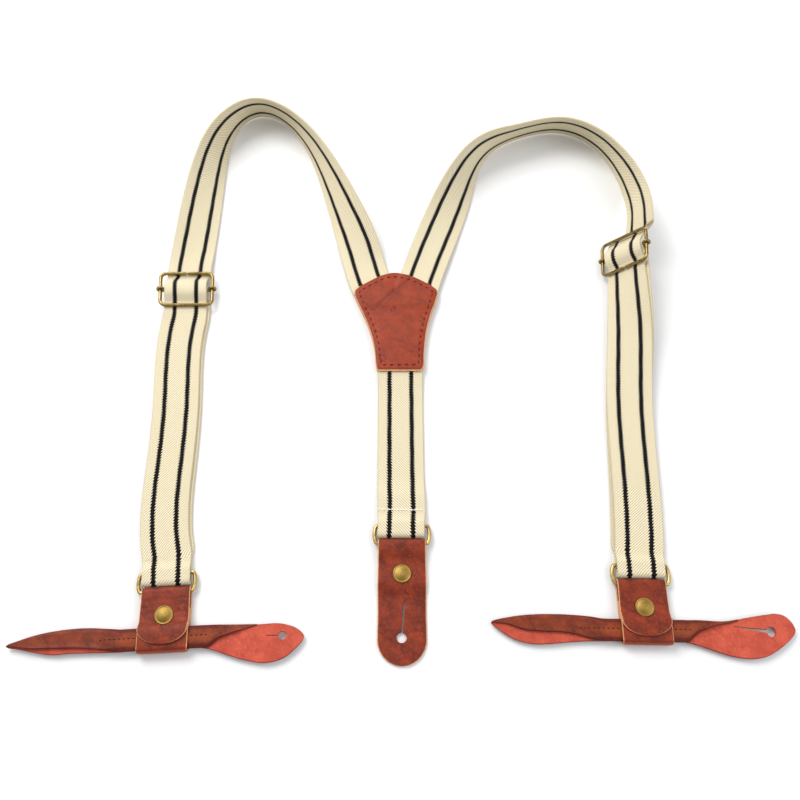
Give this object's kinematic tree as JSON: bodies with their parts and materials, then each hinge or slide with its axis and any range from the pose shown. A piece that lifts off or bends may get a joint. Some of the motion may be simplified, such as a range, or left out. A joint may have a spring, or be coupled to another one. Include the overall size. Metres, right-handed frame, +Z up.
{
  "type": "button suspenders",
  "caption": "Laid-out button suspenders: striped elastic webbing straps joined by a leather yoke, with wire adjusters, wire loops and riveted leather button tabs.",
  "frame": {"origin": "centre of the bounding box's bottom face, on the table the suspenders lie on", "axes": "+Z up from the table, +Y from the button tabs towards the shoulder bends, +X to the wearer's side that carries the higher adjuster"},
  "size_m": [0.384, 0.3547, 0.03],
  "materials": {
    "webbing": "woven, matte, dark stripes",
    "leather": "semi-gloss, creased",
    "brass": "satin",
    "antique_brass": "antique",
    "dark_thread": "waxed thread",
    "light_thread": "thread"
  },
  "bodies": {
    "root": {"yoke_front_panel": "leather", "yoke_back_panel": "leather", "yoke_stitching": "dark_thread", "left_shoulder_strap": "webbing", "right_shoulder_strap": "webbing", "left_front_strap": "webbing", "right_front_strap": "webbing", "left_return_strap": "webbing", "right_return_strap": "webbing", "back_strap": "webbing", "left_strap_ring_fold": "webbing", "right_strap_ring_fold": "webbing", "back_strap_ring_fold": "webbing", "back_strap_stitching": "light_thread"},
    "left_adjuster": {"left_slider_bar": "antique_brass", "left_slider_webbing": "webbing", "left_strap_sewn_end": "webbing"},
    "left_frame": {"left_slider_frame": "antique_brass"},
    "left_loop": {"left_ring": "brass"},
    "left_tab_body": {"left_tab": "leather", "left_rivet_cap": "brass", "left_rivet_shank": "brass"},
    "left_button_tab_body": {"left_button_tab": "leather", "left_button_tab_stitching": "dark_thread"},
    "right_adjuster": {"right_slider_bar": "antique_brass", "right_slider_webbing": "webbing", "right_strap_sewn_end": "webbing"},
    "right_frame": {"right_slider_frame": "antique_brass"},
    "right_loop": {"right_ring": "brass"},
    "right_tab_body": {"right_tab": "leather", "right_rivet_cap": "brass", "right_rivet_shank": "brass"},
    "right_button_tab_body": {"right_button_tab": "leather", "right_button_tab_stitching": "dark_thread"},
    "back_loop": {"back_ring": "brass"},
    "back_tab_body": {"back_tab": "leather", "back_rivet_cap": "brass", "back_rivet_shank": "brass"}
  },
  "joints": [
    {"name": "left_adjuster_slide", "type": "slide", "parent": "root", "child": "left_adjuster", "axis": [-0.0872, 0.9962, 0], "range_m": [-0.025, 0.015], "deforming": ["left_shoulder_strap", "left_front_strap", "left_return_strap"]},
    {"name": "left_frame_slide", "type": "slide", "parent": "left_adjuster", "child": "left_frame", "axis": [-0.0872, 0.9962, 0], "range_m": [-0.0015, 0.0015]},
    {"name": "right_adjuster_slide", "type": "slide", "parent": "root", "child": "right_adjuster", "axis": [0.0872, 0.9962, 0], "range_m": [-0.025, 0.015], "deforming": ["right_shoulder_strap", "right_front_strap", "right_return_strap"]},
    {"name": "right_frame_slide", "type": "slide", "parent": "right_adjuster", "child": "right_frame", "axis": [0.0872, 0.9962, 0], "range_m": [-0.0015, 0.0015]},
    {"name": "left_loop_hinge", "type": "hinge", "parent": "root", "child": "left_loop", "pos_m": [-0.11788, -0.13317, 0.00266], "axis": [0.9986, 0.0523, 0], "range_deg": [-50, 50]},
    {"name": "left_tab_hinge", "type": "hinge", "parent": "left_loop", "child": "left_tab_body", "pos_m": [-0.1174, -0.14245, 0.00266], "axis": [0.9986, 0.0523, 0], "range_deg": [-60, 60]},
    {"name": "right_loop_hinge", "type": "hinge", "parent": "root", "child": "right_loop", "pos_m": [0.11935, -0.12936, 0.00266], "axis": [0.9998, -0.0175, 0], "range_deg": [-50, 50]},
    {"name": "right_tab_hinge", "type": "hinge", "parent": "right_loop", "child": "right_tab_body", "pos_m": [0.11919, -0.13866, 0.00266], "axis": [0.9998, -0.0175, 0], "range_deg": [-60, 60]},
    {"name": "back_loop_hinge", "type": "hinge", "parent": "root", "child": "back_loop", "pos_m": [-0.00026, -0.10866, 0.00266], "axis": [1, 0, 0], "range_deg": [-50, 50]},
    {"name": "back_tab_hinge", "type": "hinge", "parent": "back_loop", "child": "back_tab_body", "pos_m": [-0.00026, -0.11796, 0.00266], "axis": [1, 0, 0], "range_deg": [-60, 60]},
    {"name": "left_button_tab_slide", "type": "slide", "parent": "left_tab_body", "child": "left_button_tab_body", "axis": [0.9986, 0.0523, 0], "range_m": [-0.006, 0.006]},
    {"name": "right_button_tab_slide", "type": "slide", "parent": "right_tab_body", "child": "right_button_tab_body", "axis": [0.9998, -0.0175, 0], "range_m": [-0.006, 0.006]}
  ]
}
